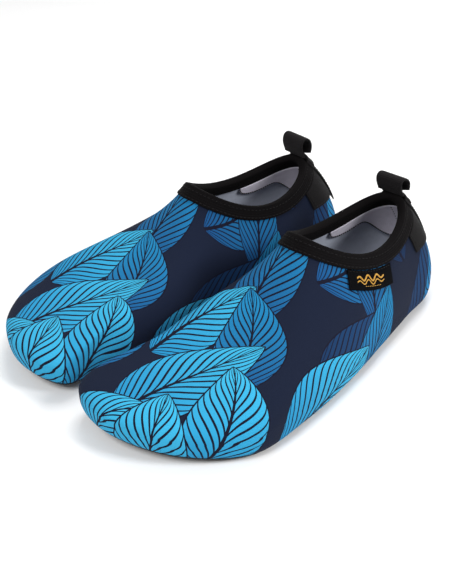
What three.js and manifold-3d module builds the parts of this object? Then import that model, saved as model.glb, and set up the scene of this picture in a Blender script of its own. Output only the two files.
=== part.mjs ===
// A pair of low slip-on water shoes: printed stretch uppers on thin rubber soles.
// Millimetres, +Z up, toes towards -Y, left shoe on +X and right shoe on -X, soles on z = 0.
// Each shoe is drawn once, as a left shoe about its own centre, and the right shoe is its mirror image.
import * as THREE from 'three';
import { ParametricGeometry } from 'three/addons/geometries/ParametricGeometry.js';
import { mergeVertices } from 'three/addons/utils/BufferGeometryUtils.js';
import Module from 'manifold-3d';

const wasm = await Module();
wasm.setup();

// ---- Driving dimensions ----
const LENGTH = 267; // of the upper, toe to heel
const HALF_SPACING = 49.2; // from the middle of the pair to the middle of a shoe
const TOE_OUT = 3.25; // degrees that each toe points away from the other shoe
const AROUND = 36; // facets round a shoe

// Widest line of the upper seen from above, from the toe along the outer side and back along the inner side.
const OUTLINE = [
  [-14, -LENGTH / 2],
  [25.5, -LENGTH / 2 + 14],
  [54.5, -LENGTH / 2 + 49],
  [56, -LENGTH / 2 + 93],
  [50.5, -LENGTH / 2 + 136],
  [42, -LENGTH / 2 + 176],
  [33, -LENGTH / 2 + 216],
  [25, -LENGTH / 2 + 250],
  [0, LENGTH / 2],
  [-26, -LENGTH / 2 + 250],
  [-32.5, -LENGTH / 2 + 216],
  [-38, -LENGTH / 2 + 173],
  [-40, -LENGTH / 2 + 131],
  [-45, -LENGTH / 2 + 86],
  [-43.5, -LENGTH / 2 + 46],
  [-46.5, -LENGTH / 2 + 12],
];

const COLLAR_FRONT = 9; // y of the throat
const COLLAR_BACK = 103; // y of the collar at the heel
const COLLAR_HALF_WIDTH = 25;
const COLLAR_CROWDING = 1.52; // how far the facets crowd towards the throat
const COLLAR_HEIGHT = { toe: 81, side: 46, heel: 75.5 };
const COLLAR_DIP = { toe: 2.1, heel: 2 }; // how quickly the collar drops away from its two high ends

// The upper's profile from its widest line to the collar, at the toe, the sides and the heel.
const WIDEST_HEIGHT = { toe: 14.3, side: 17.5, heel: 20 };
const DOME_REACH = { toe: 0.45, side: 0.72, heel: 0.83 }; // share of the way in at which the dome is full
const DOME_SHARE = { toe: 0.24, side: 0.65, heel: 0.54 }; // share of the rise that the dome takes
const RAMP_POWER = { toe: 3.6, side: 1.26, heel: 1.35 }; // the rest of the rise, straight or hollow

const TOE_SPRING = 7.5; // lift of the toe tip
const SPRING_START = 70; // distance in front of the middle where the lift begins

// Layers, measured inwards from the upper's face, with a 0.3 mm gap between them.
const UPPER = { outer: 0, inner: 1.6 };
const LINING = { outer: 1.9, inner: 2.9 };
const HEEL_LINING = { outer: 3.8, inner: 4.6 };
const BINDING_OUTER_LEG = { outer: -1.4, inner: -0.3 };
const BINDING_INNER_LEG = { outer: 3.2, inner: 4.3 };
const LABEL = { outer: -1.4, inner: -0.5 };
const HEEL_PATCH = { outer: -1.4, inner: -0.5 };
const HEEL_TAPE = { outer: -2.9, inner: -1.8 };
const BINDING_WIDTH = 9;

// Distances below the collar edge.
const UNDER_BINDING = BINDING_WIDTH + 0.7;
const LABEL_TOP = BINDING_WIDTH + 1.5;
const LABEL_BOTTOM = 22;
const HEEL_PATCH_DEPTH = 40;
const HEEL_PATCH_RISE = 200; // how much shallower the patch gets for each unit of u away from the heel
const HEEL_TAPE_LENGTH = 46;

const HEM_WIDTH = 9; // the upper's turned-in edge
const HEM_BOXINESS = 0.55; // 1 is an elliptic turn under the shoe, and less is a squarer one
const SOLE_INSET = 5;
const OUTSOLE = { low: 0, high: 2.2 };
const HEM_HEIGHT = 2.5; // underside of the turned-in edge
const STROBEL = { low: 2.5, high: 3.3 };
const INSOLE_FOAM = { low: 3.6, high: 9.6 };
const INSOLE_COVER = { low: 9.9, high: 10.5 };
const INSIDE_HEM = HEM_WIDTH + 0.6;

const GROOVE = { width: 2, depth: 1, pitch: 11 };
const FOREFOOT_GROOVES = { first: -68, count: 5 };
const HEEL_GROOVES = { first: 66, count: 4 };

const LOOP = { width: 20, height: 14.5, depth: 12, tape: 1.3, lean: 1.2 };

// ---- The shape of the upper ----
const outlineCurve = new THREE.CatmullRomCurve3(
  OUTLINE.map(([x, y]) => new THREE.Vector3(x, y, 0)),
  true,
  'catmullrom',
  0.5,
);

// u runs once round the shoe: 0 at the toe, 0.25 on the outer side, 0.5 at the heel.
function outlinePoint(u) {
  return outlineCurve.getPoint(u - Math.floor(u));
}

function inwardDirection(u) {
  const step = 1e-4;
  const along = outlinePoint(u + step).sub(outlinePoint(u - step));
  return new THREE.Vector3(-along.y, along.x, 0).normalize();
}

// A value that changes smoothly from the toe over the sides to the heel.
function blend(u, value) {
  const c = Math.cos(2 * Math.PI * u);
  const toe = ((1 + c) / 2) ** 2;
  const heel = ((1 - c) / 2) ** 2;
  return value.toe * toe + value.side * (1 - toe - heel) + value.heel * heel;
}

function collarPoint(u) {
  const turn = u - Math.floor(u);
  const side = turn <= 0.5 ? turn * 2 : (turn - 1) * 2;
  const angle = Math.PI * Math.sign(side) * Math.abs(side) ** COLLAR_CROWDING;
  const toeward = ((1 + Math.cos(angle)) / 2) ** COLLAR_DIP.toe;
  const heelward = ((1 - Math.cos(angle)) / 2) ** COLLAR_DIP.heel;
  const middle = (COLLAR_FRONT + COLLAR_BACK) / 2;
  const rise = (COLLAR_HEIGHT.toe - COLLAR_HEIGHT.side) * toeward;
  const heelRise = (COLLAR_HEIGHT.heel - COLLAR_HEIGHT.side) * heelward;
  return new THREE.Vector3(
    COLLAR_HALF_WIDTH * Math.sin(angle),
    middle - ((COLLAR_BACK - COLLAR_FRONT) / 2) * Math.cos(angle),
    COLLAR_HEIGHT.side + rise + heelRise,
  );
}

// How far the sole and everything on it lifts off the ground at y.
function toeLift(y) {
  return TOE_SPRING * (Math.max(0, -y - SPRING_START) / (LENGTH / 2 - SPRING_START)) ** 2;
}

// The face of the upper. v is -1 at the turned-in edge, 0 at the widest line and 1 at the collar.
function skin(u, v) {
  const start = outlinePoint(u);
  const widest = blend(u, WIDEST_HEIGHT);
  const point = start.clone();
  if (v < 0) {
    const angle = ((1 + v) * Math.PI) / 2;
    const out = Math.sin(angle) ** HEM_BOXINESS;
    const down = Math.cos(angle) ** HEM_BOXINESS;
    point.addScaledVector(inwardDirection(u), HEM_WIDTH * (1 - out));
    point.z = widest - (widest - HEM_HEIGHT) * down;
  } else {
    const end = collarPoint(u);
    const way = 1 - Math.cos((v * Math.PI) / 2);
    const reach = Math.min(way / blend(u, DOME_REACH), 1);
    const dome = Math.sqrt(1 - (1 - reach) ** 2);
    const share = blend(u, DOME_SHARE);
    const ramp = way ** blend(u, RAMP_POWER);
    point.lerp(end, way);
    point.z = widest + (end.z - widest) * (share * dome + (1 - share) * ramp);
  }
  point.z += toeLift(point.y);
  return point;
}

function alongSkin(u, v) {
  const step = 1e-3;
  return skin(u, Math.min(v + step, 1)).sub(skin(u, Math.max(v - step, -1)));
}

function outwardDirection(u, v) {
  const step = 1e-3;
  const around = skin(u + step, v).sub(skin(u - step, v));
  return around.cross(alongSkin(u, v)).normalize();
}

// A point at a depth below the face of the upper.
function layerPoint(u, v, depth) {
  return skin(u, v).addScaledVector(outwardDirection(u, v), -depth);
}

// The v of the point that lies a distance below the collar edge, measured along the upper.
function belowCollar(u, distance) {
  const step = 0.01;
  let v = 1;
  let left = distance;
  let here = skin(u, v);
  while (left > 0) {
    const next = skin(u, v - step);
    const length = here.distanceTo(next);
    v -= step * Math.min(1, left / length);
    left -= length;
    here = next;
  }
  return v;
}

// ---- Solids ----
// A closed ring of material round the shoe. Each row is a function of u, and the rows go once round
// its section. From row `inside` on, the facets split along their other diagonal, so that layers
// that lie on each other have matching facets.
function ringSolid(rows, inside = rows.length) {
  const place = (u, w, target) => {
    const row = rows[Math.round(w * rows.length) % rows.length];
    target.copy(row(u % 1));
  };
  const ring = new ParametricGeometry(place, AROUND, rows.length);
  const index = ring.index.array;
  for (let i = inside * AROUND * 6; i < index.length; i += 6) {
    const [a, b, d] = index.slice(i, i + 3);
    const c = index[i + 4];
    index.set([a, b, c, a, c, d], i);
  }
  return ring;
}

// The rows of facets from the turned-in edge to the collar, as functions that give v at u.
const HEM_ROWS = [-1, -0.8, -0.45].map((v) => () => v);
const BODY_ROWS = [0, 0.15, 0.3, 0.46, 0.64, 0.82].map((share) => (u) => share * belowCollar(u, BINDING_WIDTH));
const BINDING_ROWS = [BINDING_WIDTH, BINDING_WIDTH / 2, 0].map((distance) => (u) => belowCollar(u, distance));

// A layer that covers the whole upper, from its turned-in edge to the collar.
function shell({ outer, inner }) {
  const stops = [...HEM_ROWS, ...BODY_ROWS, ...BINDING_ROWS];
  const outerRows = stops.map((v) => (u) => layerPoint(u, v(u), outer));
  const innerRows = stops.map((v) => (u) => layerPoint(u, v(u), inner)).reverse();
  return ringSolid([...outerRows, ...innerRows], stops.length);
}

// Evenly spaced rows between two distances below the collar edge, from the lower to the upper one.
// The lower distance is a function of u.
function rowsBelowCollar(top, bottom, steps) {
  const rows = [];
  for (let i = 0; i <= steps; i++) {
    rows.push((u) => belowCollar(u, THREE.MathUtils.lerp(bottom(u), top, i / steps)));
  }
  return rows;
}

// A flat panel wrapped onto the shoe, with its facets in the given rows. Its lower and its upper
// edge each run between two values of u.
function wrappedPanel({ lowerEdge, upperEdge, across, rows }, { outer, inner }) {
  const steps = rows.length - 1;
  const panel = new THREE.BoxGeometry(1, 1, 1, across, steps, 1);
  const position = panel.getAttribute('position');
  for (let i = 0; i < position.count; i++) {
    const height = position.getY(i) + 0.5;
    const from = THREE.MathUtils.lerp(lowerEdge[0], upperEdge[0], height);
    const to = THREE.MathUtils.lerp(lowerEdge[1], upperEdge[1], height);
    const u = THREE.MathUtils.lerp(from, to, position.getX(i) + 0.5);
    const row = rows[Math.round(height * steps)];
    const depth = THREE.MathUtils.lerp(inner, outer, position.getZ(i) + 0.5);
    const place = layerPoint(u, row(u), depth);
    position.setXYZ(i, place.x, place.y, place.z);
  }
  return panel;
}

function solidOf(geometry) {
  const bare = geometry.clone();
  bare.deleteAttribute('normal');
  bare.deleteAttribute('uv');
  const merged = mergeVertices(bare, 1e-4);
  const mesh = new wasm.Mesh({
    numProp: 3,
    vertProperties: new Float32Array(merged.getAttribute('position').array),
    triVerts: new Uint32Array(merged.index.array),
  });
  return new wasm.Manifold(mesh);
}

function geometryOf(solid) {
  const mesh = solid.getMesh();
  const geometry = new THREE.BufferGeometry();
  geometry.setAttribute('position', new THREE.BufferAttribute(mesh.vertProperties, 3));
  geometry.setIndex(new THREE.BufferAttribute(mesh.triVerts, 1));
  geometry.computeVertexNormals();
  return geometry;
}

// Turns an extrusion of a (y, z) shape so that it runs along x, centred on x = 0.
function acrossShoe(shape, width) {
  const geometry = new THREE.ExtrudeGeometry(shape, { depth: width, bevelEnabled: false });
  const xAxis = new THREE.Vector3(1, 0, 0);
  const yAxis = new THREE.Vector3(0, 1, 0);
  const zAxis = new THREE.Vector3(0, 0, 1);
  geometry.translate(0, 0, -width / 2);
  return geometry.applyMatrix4(new THREE.Matrix4().makeBasis(yAxis, zAxis, xAxis));
}

// A flat layer of the bottom: its outline is the widest line moved inwards, and it follows the toe spring.
function slab(inset, { low, high }) {
  const outline = [];
  for (let i = 0; i < AROUND; i++) {
    const u = i / AROUND;
    const point = outlinePoint(u).addScaledVector(inwardDirection(u), inset);
    outline.push(new THREE.Vector2(point.x, point.y));
  }
  const tallEnough = high + TOE_SPRING * 2;
  const plan = new THREE.ExtrudeGeometry(new THREE.Shape(outline), { depth: tallEnough, bevelEnabled: false });
  const stations = [-LENGTH / 2, -119, -104, -88, -SPRING_START, LENGTH / 2];
  const under = stations.map((y) => new THREE.Vector2(y, low + toeLift(y)));
  const over = stations.map((y) => new THREE.Vector2(y, high + toeLift(y))).reverse();
  const side = acrossShoe(new THREE.Shape([...under, ...over]), LENGTH);
  return solidOf(plan).intersect(solidOf(side));
}

// ---- Sub-parts, one function each ----
function outsole() {
  let sole = slab(SOLE_INSET, OUTSOLE);
  for (const { first, count } of [FOREFOOT_GROOVES, HEEL_GROOVES]) {
    for (let i = 0; i < count; i++) {
      const groove = new THREE.BoxGeometry(LENGTH, GROOVE.width, 2 * GROOVE.depth);
      groove.translate(0, first + i * GROOVE.pitch, 0);
      sole = sole.subtract(solidOf(groove));
    }
  }
  return geometryOf(sole);
}

function strobelBoard() {
  return geometryOf(slab(INSIDE_HEM, STROBEL));
}

function insoleFoam() {
  return geometryOf(slab(INSIDE_HEM, INSOLE_FOAM));
}

function insoleCover() {
  return geometryOf(slab(INSIDE_HEM, INSOLE_COVER));
}

// The binding is folded over the collar edge, with one leg outside and one inside.
function collarBinding() {
  const leg = (depth) => BINDING_ROWS.map((v) => (u) => layerPoint(u, v(u), depth));
  const overEdge = (rise, depth) => (u) => {
    const up = alongSkin(u, 1).normalize();
    return layerPoint(u, 1, depth).addScaledVector(up, rise);
  };
  const outside = BINDING_OUTER_LEG;
  const inside = BINDING_INNER_LEG;
  const thickness = outside.inner - outside.outer;
  const gap = -outside.inner;
  const middle = (outside.outer + inside.inner) / 2;
  return ringSolid([
    ...leg(outside.outer),
    overEdge(thickness + gap, middle),
    ...leg(inside.inner).reverse(),
    ...leg(inside.outer),
    overEdge(gap, inside.outer),
    overEdge(gap, outside.inner),
    ...leg(outside.inner).reverse(),
  ]);
}

function heelLining() {
  const rows = [...BODY_ROWS.slice(2), (u) => belowCollar(u, UNDER_BINDING)];
  const edge = [14 / AROUND, 22 / AROUND];
  return wrappedPanel({ lowerEdge: edge, upperEdge: edge, across: 8, rows }, HEEL_LINING);
}

// The patch is deepest at the centre of the heel.
function heelPatch() {
  const bottom = (u) => HEEL_PATCH_DEPTH - HEEL_PATCH_RISE * Math.abs(u - 0.5);
  const rows = rowsBelowCollar(UNDER_BINDING, bottom, 6);
  const edge = [0.4, 0.6];
  return wrappedPanel({ lowerEdge: edge, upperEdge: edge, across: 14, rows }, HEEL_PATCH);
}

function heelTape() {
  const rows = rowsBelowCollar(1, () => HEEL_TAPE_LENGTH, 8);
  const edge = [0.47, 0.53];
  return wrappedPanel({ lowerEdge: edge, upperEdge: edge, across: 4, rows }, HEEL_TAPE);
}

// The label hangs straight down, so its edges cross the lines of constant u.
function sideLabel() {
  const rows = rowsBelowCollar(LABEL_TOP, () => LABEL_BOTTOM, 3);
  return wrappedPanel({ lowerEdge: [0.239, 0.334], upperEdge: [0.232, 0.335], across: 7, rows }, LABEL);
}

// A teardrop of folded webbing: narrow at the stitched end, round at the top and leaning forwards.
function teardrop(height, depth, base) {
  const points = [];
  const steps = 18;
  for (let i = 0; i < steps; i++) {
    const turn = (2 * Math.PI * i) / steps;
    const rise = (1 - Math.cos(turn)) / 2;
    const lean = -LOOP.lean * rise ** 2;
    points.push(new THREE.Vector2((depth / 2) * Math.sin(turn) * rise ** 0.4 + lean, base + height * rise));
  }
  return points;
}

function pullLoop() {
  const shape = new THREE.Shape(teardrop(LOOP.height, LOOP.depth, 0));
  const gap = teardrop(LOOP.height - 3 * LOOP.tape, LOOP.depth - 2 * LOOP.tape, 2 * LOOP.tape);
  shape.holes.push(new THREE.Path(gap));
  const geometry = acrossShoe(shape, LOOP.width);
  const top = collarPoint(0.5);
  const clearOfBinding = 2.2;
  return geometry.translate(0, top.y - 1, top.z + clearOfBinding);
}

// ---- Materials ----
const MATERIALS = {
  rubber: new THREE.MeshStandardMaterial({ color: 0x141315, roughness: 0.75, metalness: 0 }),
  board: new THREE.MeshStandardMaterial({ color: 0xb9b6ae, roughness: 0.95, metalness: 0 }),
  foam: new THREE.MeshStandardMaterial({ color: 0x3c4147, roughness: 0.95, metalness: 0 }),
  footCloth: new THREE.MeshStandardMaterial({ color: 0x5d626b, roughness: 0.9, metalness: 0 }),
  print: new THREE.MeshStandardMaterial({ color: 0x1f7fb8, roughness: 0.7, metalness: 0 }),
  lining: new THREE.MeshStandardMaterial({ color: 0x71747f, roughness: 0.85, metalness: 0 }),
  heelLining: new THREE.MeshStandardMaterial({ color: 0x4c565f, roughness: 0.85, metalness: 0 }),
  elastic: new THREE.MeshStandardMaterial({ color: 0x14110f, roughness: 0.85, metalness: 0 }),
  webbing: new THREE.MeshStandardMaterial({ color: 0x1b1718, roughness: 0.8, metalness: 0 }),
  label: new THREE.MeshStandardMaterial({ color: 0x0e0c0e, roughness: 0.5, metalness: 0 }),
};

const PIECES = [
  ['outsole', outsole, MATERIALS.rubber],
  ['strobel_board', strobelBoard, MATERIALS.board],
  ['insole_foam', insoleFoam, MATERIALS.foam],
  ['insole_cover', insoleCover, MATERIALS.footCloth],
  ['upper', () => shell(UPPER), MATERIALS.print],
  ['lining', () => shell(LINING), MATERIALS.lining],
  ['heel_lining', heelLining, MATERIALS.heelLining],
  ['collar_binding', collarBinding, MATERIALS.elastic],
  ['heel_patch', heelPatch, MATERIALS.elastic],
  ['heel_tape', heelTape, MATERIALS.webbing],
  ['pull_loop', pullLoop, MATERIALS.webbing],
  ['side_label', sideLabel, MATERIALS.label],
];

// ---- The pair ----
function shoe(name, side) {
  const group = new THREE.Group();
  for (const [piece, make, material] of PIECES) {
    const mesh = new THREE.Mesh(make(), material);
    mesh.name = `${name}_${piece}`;
    group.add(mesh);
  }
  group.scale.x = side;
  group.position.x = side * HALF_SPACING;
  group.rotation.z = side * THREE.MathUtils.degToRad(TOE_OUT);
  return group;
}

const pair = new THREE.Group();
pair.add(shoe('left', 1), shoe('right', -1));

// The origin is on the ground under the middle of the pair.
const middle = new THREE.Box3().setFromObject(pair, true).getCenter(new THREE.Vector3());
pair.position.y = -middle.y;

export default pair;
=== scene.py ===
"""A pair of low slip-on water shoes: printed stretch uppers, elastic collars, pull loops, thin soles.

Metres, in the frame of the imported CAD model. Each shoe is drawn once, in millimetres, as a left shoe about
its own centre, with the same surface as the CAD. The right shoe is its mirror image, but its print isn't.
"""
import math

import bmesh
import bpy
import numpy as np
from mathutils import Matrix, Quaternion, Vector


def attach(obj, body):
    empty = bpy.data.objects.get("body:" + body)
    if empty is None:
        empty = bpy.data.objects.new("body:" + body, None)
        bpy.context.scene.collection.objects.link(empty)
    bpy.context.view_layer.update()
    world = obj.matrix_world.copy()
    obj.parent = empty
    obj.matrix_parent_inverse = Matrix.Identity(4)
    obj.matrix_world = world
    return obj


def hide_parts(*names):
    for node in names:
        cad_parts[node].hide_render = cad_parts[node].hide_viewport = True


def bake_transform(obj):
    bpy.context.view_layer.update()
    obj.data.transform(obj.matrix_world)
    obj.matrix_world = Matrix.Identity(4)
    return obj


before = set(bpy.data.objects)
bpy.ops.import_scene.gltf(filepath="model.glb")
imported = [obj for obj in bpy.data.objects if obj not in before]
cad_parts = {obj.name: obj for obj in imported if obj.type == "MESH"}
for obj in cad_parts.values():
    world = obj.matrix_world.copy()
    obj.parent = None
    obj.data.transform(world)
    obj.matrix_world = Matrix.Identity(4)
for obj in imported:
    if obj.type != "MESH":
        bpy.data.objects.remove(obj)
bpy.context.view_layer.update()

MM = 0.001

# ---- The shoe's surface, in millimetres, as in the CAD ----
LENGTH = 267
HALF_SPACING = 49.2
TOE_OUT = math.radians(3.25)
PAIR_SHIFT = 0.4  # along Y, which centres the pair's box
OUTLINE = np.array([
    (-14, -LENGTH / 2), (25.5, -LENGTH / 2 + 14), (54.5, -LENGTH / 2 + 49), (56, -LENGTH / 2 + 93),
    (50.5, -LENGTH / 2 + 136), (42, -LENGTH / 2 + 176), (33, -LENGTH / 2 + 216), (25, -LENGTH / 2 + 250),
    (0, LENGTH / 2), (-26, -LENGTH / 2 + 250), (-32.5, -LENGTH / 2 + 216), (-38, -LENGTH / 2 + 173),
    (-40, -LENGTH / 2 + 131), (-45, -LENGTH / 2 + 86), (-43.5, -LENGTH / 2 + 46), (-46.5, -LENGTH / 2 + 12),
])
COLLAR_FRONT, COLLAR_BACK, COLLAR_HALF_WIDTH, COLLAR_CROWDING = 9, 103, 25, 1.52
# Each trio holds the values at the toe, the sides and the heel.
COLLAR_HEIGHT = (81, 46, 75.5)
COLLAR_DIP = (2.1, None, 2)
WIDEST_HEIGHT = (14.3, 17.5, 20)
DOME_REACH = (0.45, 0.72, 0.83)
DOME_SHARE = (0.24, 0.65, 0.54)
RAMP_POWER = (3.6, 1.26, 1.35)
TOE_SPRING, SPRING_START = 7.5, 70
HEM_WIDTH, HEM_BOXINESS, HEM_HEIGHT = 9, 0.55, 2.5
BINDING_WIDTH = 9


def outline_point(u):
    """The widest line of the upper, a closed curve through OUTLINE. u is 0 at the toe and 0.5 at the heel."""
    way = (np.asarray(u, float) % 1) * len(OUTLINE)
    first = np.floor(way).astype(int)
    t = (way - first)[..., None]
    before, start, end, after = (OUTLINE[(first + k) % len(OUTLINE)] for k in (-1, 0, 1, 2))
    bend = 2 * before - 5 * start + 4 * end - after
    twist = 3 * start - before - 3 * end + after
    return 0.5 * (2 * start + (end - before) * t + bend * t**2 + twist * t**3)


def inward_direction(u):
    along = outline_point(u + 1e-4) - outline_point(u - 1e-4)
    inward = np.stack([-along[..., 1], along[..., 0]], -1)
    return inward / np.linalg.norm(inward, axis=-1, keepdims=True)


def blend_round(u, values):
    """Changes smoothly from the toe's value over the sides' to the heel's."""
    c = np.cos(2 * np.pi * u)
    toe, heel = ((1 + c) / 2) ** 2, ((1 - c) / 2) ** 2
    return values[0] * toe + values[1] * (1 - toe - heel) + values[2] * heel


def collar_point(u):
    turn = np.asarray(u, float) % 1
    side = np.where(turn <= 0.5, turn * 2, (turn - 1) * 2)
    angle = np.pi * np.sign(side) * np.abs(side) ** COLLAR_CROWDING
    toeward = ((1 + np.cos(angle)) / 2) ** COLLAR_DIP[0]
    heelward = ((1 - np.cos(angle)) / 2) ** COLLAR_DIP[2]
    middle, half = (COLLAR_FRONT + COLLAR_BACK) / 2, (COLLAR_BACK - COLLAR_FRONT) / 2
    toe, side, heel = COLLAR_HEIGHT
    height = side + (toe - side) * toeward + (heel - side) * heelward
    return np.stack([COLLAR_HALF_WIDTH * np.sin(angle), middle - half * np.cos(angle), height], -1)


def toe_lift(y):
    return TOE_SPRING * (np.maximum(0, -y - SPRING_START) / (LENGTH / 2 - SPRING_START)) ** 2


def skin(u, v):
    """The face of the upper. v is -1 at the turned-in edge, 0 at the widest line and 1 at the collar."""
    u, v = np.broadcast_arrays(np.asarray(u, float), np.asarray(v, float))
    start, end = outline_point(u), collar_point(u)
    widest = blend_round(u, WIDEST_HEIGHT)
    angle = (1 + np.clip(v, -1, 0)) * np.pi / 2
    out = np.sin(angle).clip(0) ** HEM_BOXINESS
    down = np.cos(angle).clip(0) ** HEM_BOXINESS
    hem = start + inward_direction(u) * (HEM_WIDTH * (1 - out))[..., None]
    hem_z = widest - (widest - HEM_HEIGHT) * down
    way = 1 - np.cos(np.clip(v, 0, 1) * np.pi / 2)
    reach = np.minimum(way / blend_round(u, DOME_REACH), 1)
    dome = np.sqrt(1 - (1 - reach) ** 2)
    share = blend_round(u, DOME_SHARE)
    ramp = way ** blend_round(u, RAMP_POWER)
    body = start + (end[..., :2] - start) * way[..., None]
    body_z = widest + (end[..., 2] - widest) * (share * dome + (1 - share) * ramp)
    under = (v < 0)[..., None]
    xy = np.where(under, hem, body)
    z = np.where(v < 0, hem_z, body_z) + toe_lift(xy[..., 1])
    return np.concatenate([xy, z[..., None]], -1)


def unit(vectors):
    return vectors / np.linalg.norm(vectors, axis=-1, keepdims=True)


def run_along(points):
    """How far along a path each of its points lies."""
    steps = np.linalg.norm(np.diff(points, axis=0), axis=1)
    return np.concatenate([[0], np.cumsum(steps)])


def along_skin(u, v, step=1e-3):
    return skin(u, np.minimum(v + step, 1)) - skin(u, np.maximum(v - step, -1))


def layer(u, v, depth):
    """A point at a depth below the face of the upper."""
    u, v = np.broadcast_arrays(np.asarray(u, float), np.asarray(v, float))
    around = skin(u + 1e-3, v) - skin(u - 1e-3, v)
    outward = unit(np.cross(around, along_skin(u, v)))
    return skin(u, v) - outward * np.asarray(depth, float)[..., None]


# v at every half millimetre below the collar edge, measured along the upper, at many values of u.
TABLE_U = np.linspace(0, 1, 361)
TABLE_DEPTH = np.arange(0.0, 100.0, 0.5)
_v = np.linspace(1, -1, 401)
_run = skin(TABLE_U[:, None], _v[None, :])
_length = np.concatenate(
    [np.zeros((len(TABLE_U), 1)), np.cumsum(np.linalg.norm(np.diff(_run, axis=1), axis=-1), 1)], 1)
TABLE_V = np.array([np.interp(TABLE_DEPTH, row, _v) for row in _length])


def below_collar(u, distance):
    """v of the points that lie a distance below the collar edge."""
    u, distance = np.broadcast_arrays(np.asarray(u, float) % 1, np.asarray(distance, float))
    a, b = u * (len(TABLE_U) - 1), distance / TABLE_DEPTH[1]
    i = np.minimum(a.astype(int), len(TABLE_U) - 2)
    j = np.clip(b.astype(int), 0, len(TABLE_DEPTH) - 2)
    a, b = a - i, b - j
    low = TABLE_V[i, j] * (1 - b) + TABLE_V[i, j + 1] * b
    high = TABLE_V[i + 1, j] * (1 - b) + TABLE_V[i + 1, j + 1] * b
    return np.minimum(low * (1 - a) + high * a, 1)


def at_depth(u, distance, depth):
    """A point a distance below the collar edge and a depth below the face of the upper."""
    return layer(u, below_collar(u, distance), depth)


# ---- Meshes ----
def to_world(points, side):
    """From a left shoe about its own centre, in millimetres, to the shoe on that side, in metres."""
    x, y, z = side * points[..., 0], points[..., 1], points[..., 2]
    turn = side * TOE_OUT
    world_x = x * math.cos(turn) - y * math.sin(turn) + side * HALF_SPACING
    world_y = x * math.sin(turn) + y * math.cos(turn) + PAIR_SHIFT
    return np.stack([world_x, world_y, z], -1) * MM


SIDES = {"left": 1, "right": -1}
BODY = {side: f"{side}_shoe" for side in SIDES}


def mesh_object(name, points, faces, uvs=()):
    """A mesh of quads and triangles in the pair's frame. uvs are (map name, one (x, y) per face corner)."""
    mesh = bpy.data.meshes.new(name)
    mesh.from_pydata(points.reshape(-1, 3).tolist(), [], [list(map(int, f)) for f in faces])
    for title, corners in uvs:
        mesh.uv_layers.new(name=title).data.foreach_set("uv", np.asarray(corners, np.float32).ravel())
    mesh.shade_smooth()
    piece = bpy.data.objects.new(name, mesh)
    bpy.context.scene.collection.objects.link(piece)
    return piece


def weld(piece, gap=2e-6):
    """Joins vertices that lie on each other and turns every face outwards."""
    bm = bmesh.new()
    bm.from_mesh(piece.data)
    bmesh.ops.remove_doubles(bm, verts=bm.verts, dist=gap)
    bmesh.ops.recalc_face_normals(bm, faces=bm.faces)
    bm.to_mesh(piece.data)
    bm.free()
    piece.data.shade_smooth()
    return piece


def quads(rows, columns, offset=0, flip=False):
    """The quads of a grid of points, in rows."""
    index = np.arange(rows * columns).reshape(rows, columns) + offset
    faces = np.stack([index[:-1, :-1], index[:-1, 1:], index[1:, 1:], index[1:, :-1]], -1).reshape(-1, 4)
    return faces[:, ::-1] if flip else faces


def prism_faces(rings, sides, base):
    """The faces of a closed prism whose points are given ring by ring from base on."""
    faces = []
    for start in range(base, base + (rings - 1) * sides, sides):
        for k in range(sides):
            n = (k + 1) % sides
            faces.append((start + k, start + n, start + sides + n, start + sides + k))
    last = base + (rings - 1) * sides
    return faces + [tuple(range(base, base + sides))[::-1], tuple(range(last, last + sides))]


def corner_uvs(grid, faces_of_grid):
    return grid.reshape(-1, 2)[faces_of_grid].reshape(-1, 2)


def ring(name, section, side, uv_of):
    """A closed ring round the shoe. section is (rows, columns, 3): its rows go once round the ring's
    section, and its first and last columns are the same place. uv_of gives a map for every point."""
    rows, columns = section.shape[:2]
    closed = np.concatenate([section, section[:1]])
    faces = quads(rows + 1, columns)
    uvs = []
    for title, grid in uv_of.items():
        grid = np.concatenate([grid, grid[:1]])
        uvs.append((title, corner_uvs(grid, faces)))
    return weld(mesh_object(name, to_world(closed, side), faces, uvs))


def edged(count, length, thickness):
    """Shares from 0 to 1 along a length, with the samples that a rounded edge needs at both ends."""
    turn = np.linspace(0, math.pi / 2, 5)[:-1]
    edge = (1 - np.cos(turn)) * thickness / 2 / length
    middle = np.linspace(thickness / 2 / length, 1 - thickness / 2 / length, count)
    return np.concatenate([edge, middle, 1 - edge[::-1]])


def panel(name, place, size, counts, thickness, side, ribs=None):
    """A flat piece with rounded edges. place(a, b, height) gives the point at shares a across and b
    along, and a height above the middle of its thickness; size is (across, along) in millimetres."""
    a, b = (edged(counts[k], size[k], thickness) for k in (0, 1))
    a, b = np.meshgrid(a, b)
    inside = np.minimum(np.minimum(a, 1 - a) * size[0], np.minimum(b, 1 - b) * size[1])
    round_off = 1 - np.minimum(inside / (thickness / 2), 1)
    half = thickness / 2 * np.sqrt(np.clip(1 - round_off**2, 0, 1))
    relief = ribs(a * size[0], b * size[1]) * np.minimum(inside, 1) if ribs else 0
    over, under = place(a, b, half + relief), place(a, b, -half)
    rows, columns = a.shape
    faces = np.concatenate([quads(rows, columns), quads(rows, columns, rows * columns, True)])
    weave = np.stack([a * size[0], b * size[1]], -1)
    both = np.concatenate([weave.reshape(-1, 2)] * 2)
    points = np.concatenate([over.reshape(-1, 3), under.reshape(-1, 3)])
    return weld(mesh_object(name, to_world(points, side), faces, [("Weave", both[faces].reshape(-1, 2))]))


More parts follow.
